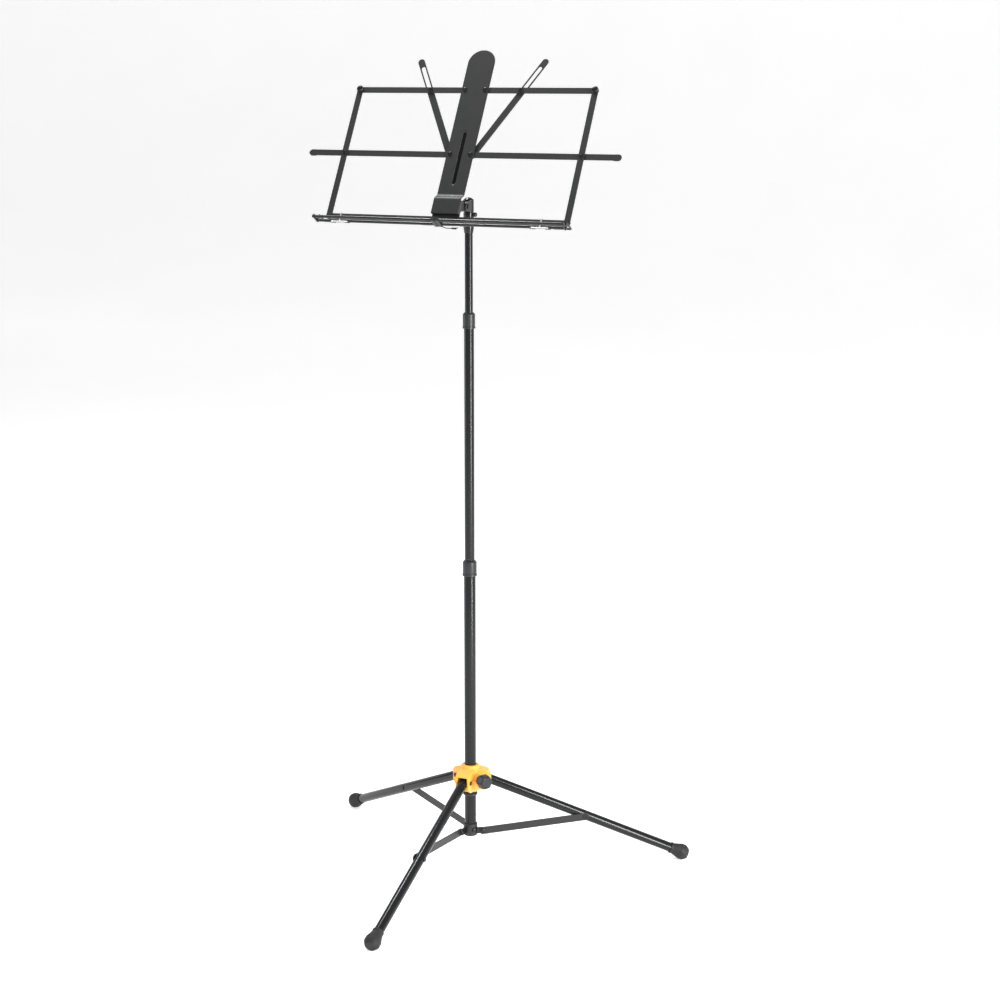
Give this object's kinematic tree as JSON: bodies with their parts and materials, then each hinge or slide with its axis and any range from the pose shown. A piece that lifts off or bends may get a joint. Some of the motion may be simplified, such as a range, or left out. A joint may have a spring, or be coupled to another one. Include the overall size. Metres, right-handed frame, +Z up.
{
  "type": "music stand",
  "caption": "Folding music stand with a telescoping mast, a tripod on a sliding hub, and a tilting, folding lattice desk with a rod ledge for pages.",
  "frame": {"origin": "mast axis at floor level", "axes": "+Z up along the mast, -Y towards the reader's side of the desk, where the front leg points, +X to the right seen from there"},
  "size_m": [0.6474, 0.5639, 1.3374],
  "materials": {
    "hub_plastic": "moulded satin gloss",
    "foot_rubber": "matt",
    "black_plastic": "satin",
    "bush_plastic": "matt",
    "clip_wire": "nickel plated",
    "dark_steel": "blackened",
    "rod_steel": "semi-gloss black",
    "black_tube": "semi-gloss powder coat",
    "head_coat": "gloss",
    "black_bar": "satin powder coat"
  },
  "bodies": {
    "base_mast": {"lower_mast_tube": "black_tube", "lower_clamp_sleeve": "bush_plastic", "strut_collar": "black_bar", "strut_collar_rivets": "dark_steel", "hub_stop_ring": "black_plastic"},
    "leg_hub": {"leg_hub": "hub_plastic", "leg_hinge_pins": "dark_steel"},
    "hub_knob": {"hub_knob": "black_plastic", "hub_knob_screw": "dark_steel"},
    "leg_front": {"leg_front_tube": "black_tube", "leg_front_foot": "foot_rubber", "leg_front_rivet": "dark_steel"},
    "strut_front": {"strut_front_bar": "black_bar", "strut_front_rivet": "dark_steel"},
    "leg_right": {"leg_right_tube": "black_tube", "leg_right_foot": "foot_rubber", "leg_right_rivet": "dark_steel"},
    "strut_right": {"strut_right_bar": "black_bar", "strut_right_rivet": "dark_steel"},
    "leg_left": {"leg_left_tube": "black_tube", "leg_left_foot": "foot_rubber", "leg_left_rivet": "dark_steel"},
    "strut_left": {"strut_left_bar": "black_bar", "strut_left_rivet": "dark_steel"},
    "lower_twist_collar": {"lower_twist_collar": "black_plastic"},
    "upper_twist_collar": {"upper_twist_collar": "black_plastic"},
    "middle_mast": {"middle_mast_tube": "black_tube", "middle_tube_bush": "bush_plastic", "upper_clamp_sleeve": "bush_plastic"},
    "top_mast": {"top_mast_tube": "black_tube", "top_tube_bush": "bush_plastic", "head_socket": "head_coat"},
    "head_thumb_knob": {"head_thumb_knob": "black_plastic"},
    "head_barrel": {"head_barrel": "head_coat", "tilt_pin": "dark_steel"},
    "desk_spine": {"spine_plate": "dark_steel", "desk_bracket": "black_bar", "tilt_arm": "black_bar", "spine_rivets": "dark_steel"},
    "top_rail_right": {"top_rail_right": "black_bar", "prop_pin_right": "dark_steel"},
    "mid_arm_right": {"mid_arm_right": "black_bar"},
    "bottom_rail_right": {"bottom_rail_right": "black_bar", "ledge_rods_right": "rod_steel", "ledge_brackets_right": "black_bar", "ledge_latch": "rod_steel"},
    "side_bar_right": {"side_bar_right": "black_bar", "side_rivets_right": "dark_steel"},
    "prop_arm_right": {"prop_arm_right": "black_bar"},
    "page_clip_right": {"page_clip_right": "clip_wire"},
    "top_rail_left": {"top_rail_left": "black_bar", "prop_pin_left": "dark_steel"},
    "mid_arm_left": {"mid_arm_left": "black_bar"},
    "bottom_rail_left": {"bottom_rail_left": "black_bar", "ledge_rods_left": "rod_steel", "ledge_brackets_left": "black_bar"},
    "side_bar_left": {"side_bar_left": "black_bar", "side_rivets_left": "dark_steel"},
    "prop_arm_left": {"prop_arm_left": "black_bar"},
    "page_clip_left": {"page_clip_left": "clip_wire"}
  },
  "joints": [
    {"name": "hub_slide", "type": "slide", "parent": "base_mast", "child": "leg_hub", "axis": [0, 0, 1], "range_m": [0, 0.2634]},
    {"name": "leg_front_fold", "type": "hinge", "parent": "leg_hub", "child": "leg_front", "pos_m": [0, -0.026, 0.158], "axis": [1, 0, 0], "range_deg": [0, 63.4]},
    {"name": "strut_front_fold", "type": "hinge", "parent": "base_mast", "child": "strut_front", "pos_m": [0, -0.0197, 0.068], "axis": [-1, 0, 0], "range_deg": [0, 78.97]},
    {"name": "leg_right_fold", "type": "hinge", "parent": "leg_hub", "child": "leg_right", "pos_m": [0.02252, 0.013, 0.158], "axis": [-0.5, 0.866, 0], "range_deg": [0, 63.4]},
    {"name": "strut_right_fold", "type": "hinge", "parent": "base_mast", "child": "strut_right", "pos_m": [0.01706, 0.00985, 0.068], "axis": [0.5, -0.866, 0], "range_deg": [0, 78.97]},
    {"name": "leg_left_fold", "type": "hinge", "parent": "leg_hub", "child": "leg_left", "pos_m": [-0.02252, 0.013, 0.158], "axis": [-0.5, -0.866, 0], "range_deg": [0, 63.4]},
    {"name": "strut_left_fold", "type": "hinge", "parent": "base_mast", "child": "strut_left", "pos_m": [-0.01706, 0.00985, 0.068], "axis": [0.5, 0.866, 0], "range_deg": [0, 78.97]},
    {"name": "hub_knob_turn", "type": "hinge", "parent": "leg_hub", "child": "hub_knob", "pos_m": [0, 0, 0.162], "axis": [0.866, -0.5, 0], "range_deg": [0, 180]},
    {"name": "lower_collar_twist", "type": "hinge", "parent": "base_mast", "child": "lower_twist_collar", "pos_m": [0, 0, 0.5], "axis": [0, 0, 1], "range_deg": [0, 90]},
    {"name": "upper_collar_twist", "type": "hinge", "parent": "middle_mast", "child": "upper_twist_collar", "pos_m": [0, 0, 0.8], "axis": [0, 0, 1], "range_deg": [0, 90]},
    {"name": "middle_slide", "type": "slide", "parent": "base_mast", "child": "middle_mast", "axis": [0, 0, 1], "range_m": [-0.375, 0.02]},
    {"name": "top_slide", "type": "slide", "parent": "middle_mast", "child": "top_mast", "axis": [0, 0, 1], "range_m": [-0.124, 0.24]},
    {"name": "head_swivel", "type": "hinge", "parent": "top_mast", "child": "head_barrel", "pos_m": [0, 0, 1.0854], "axis": [0, 0, 1], "continuous": true},
    {"name": "head_knob_turn", "type": "hinge", "parent": "top_mast", "child": "head_thumb_knob", "pos_m": [0, 0, 1.0854], "axis": [1, 0, 0], "range_deg": [0, 180]},
    {"name": "desk_tilt", "type": "hinge", "parent": "head_barrel", "child": "desk_spine", "pos_m": [0, -0.017, 1.099], "axis": [-1, 0, 0], "range_deg": [-35, 60]},
    {"name": "top_rail_fold_right", "type": "hinge", "parent": "desk_spine", "child": "top_rail_right", "pos_m": [0.0173, 0.02536, 1.27697], "axis": [0, -0.8634, 0.5045], "range_deg": [0, 83]},
    {"name": "mid_arm_fold_right", "type": "hinge", "parent": "desk_spine", "child": "mid_arm_right", "pos_m": [0.0173, -0.0314, 1.17984], "axis": [0, -0.8634, 0.5045], "range_deg": [0, 83]},
    {"name": "bottom_rail_fold_right", "type": "hinge", "parent": "desk_spine", "child": "bottom_rail_right", "pos_m": [0.0173, -0.0874, 1.084], "axis": [0, -0.8634, 0.5045], "range_deg": [0, 83]},
    {"name": "side_bar_fold_right", "type": "hinge", "parent": "top_rail_right", "child": "side_bar_right", "pos_m": [0.2007, 0.02536, 1.27697], "axis": [0, -0.8634, 0.5045], "range_deg": [-83, 0]},
    {"name": "prop_arm_fold_right", "type": "hinge", "parent": "desk_spine", "child": "prop_arm_right", "pos_m": [0.0173, -0.0314, 1.17984], "axis": [0, -0.8634, 0.5045], "range_deg": [0, 25.6]},
    {"name": "page_clip_turn_right", "type": "hinge", "parent": "bottom_rail_right", "child": "page_clip_right", "pos_m": [0.16, -0.11091, 1.07805], "axis": [1, 0, 0], "range_deg": [0, 60]},
    {"name": "top_rail_fold_left", "type": "hinge", "parent": "desk_spine", "child": "top_rail_left", "pos_m": [-0.0173, 0.02536, 1.27697], "axis": [0, 0.8634, -0.5045], "range_deg": [0, 83]},
    {"name": "mid_arm_fold_left", "type": "hinge", "parent": "desk_spine", "child": "mid_arm_left", "pos_m": [-0.0173, -0.0314, 1.17984], "axis": [0, 0.8634, -0.5045], "range_deg": [0, 83]},
    {"name": "bottom_rail_fold_left", "type": "hinge", "parent": "desk_spine", "child": "bottom_rail_left", "pos_m": [-0.0173, -0.0874, 1.084], "axis": [0, 0.8634, -0.5045], "range_deg": [0, 83]},
    {"name": "side_bar_fold_left", "type": "hinge", "parent": "top_rail_left", "child": "side_bar_left", "pos_m": [-0.2007, 0.02536, 1.27697], "axis": [0, 0.8634, -0.5045], "range_deg": [-83, 0]},
    {"name": "prop_arm_fold_left", "type": "hinge", "parent": "desk_spine", "child": "prop_arm_left", "pos_m": [-0.0173, -0.0314, 1.17984], "axis": [0, 0.8634, -0.5045], "range_deg": [0, 25.6]},
    {"name": "page_clip_turn_left", "type": "hinge", "parent": "bottom_rail_left", "child": "page_clip_left", "pos_m": [-0.16, -0.11091, 1.07805], "axis": [1, 0, 0], "range_deg": [0, 60]}
  ],
  "couplings": [
    {"joint": "leg_front_fold", "follows": "hub_slide", "rad_per_m": 4.2009},
    {"joint": "strut_front_fold", "follows": "hub_slide", "rad_per_m": 5.2326},
    {"joint": "leg_right_fold", "follows": "hub_slide", "rad_per_m": 4.2009},
    {"joint": "strut_right_fold", "follows": "hub_slide", "rad_per_m": 5.2326},
    {"joint": "leg_left_fold", "follows": "hub_slide", "rad_per_m": 4.2009},
    {"joint": "strut_left_fold", "follows": "hub_slide", "rad_per_m": 5.2326},
    {"joint": "mid_arm_fold_right", "follows": "top_rail_fold_right", "ratio": 1},
    {"joint": "bottom_rail_fold_right", "follows": "top_rail_fold_right", "ratio": 1},
    {"joint": "side_bar_fold_right", "follows": "top_rail_fold_right", "ratio": -1},
    {"joint": "prop_arm_fold_right", "follows": "top_rail_fold_right", "ratio": 0.3084},
    {"joint": "mid_arm_fold_left", "follows": "top_rail_fold_left", "ratio": 1},
    {"joint": "bottom_rail_fold_left", "follows": "top_rail_fold_left", "ratio": 1},
    {"joint": "side_bar_fold_left", "follows": "top_rail_fold_left", "ratio": -1},
    {"joint": "prop_arm_fold_left", "follows": "top_rail_fold_left", "ratio": 0.3084}
  ]
}
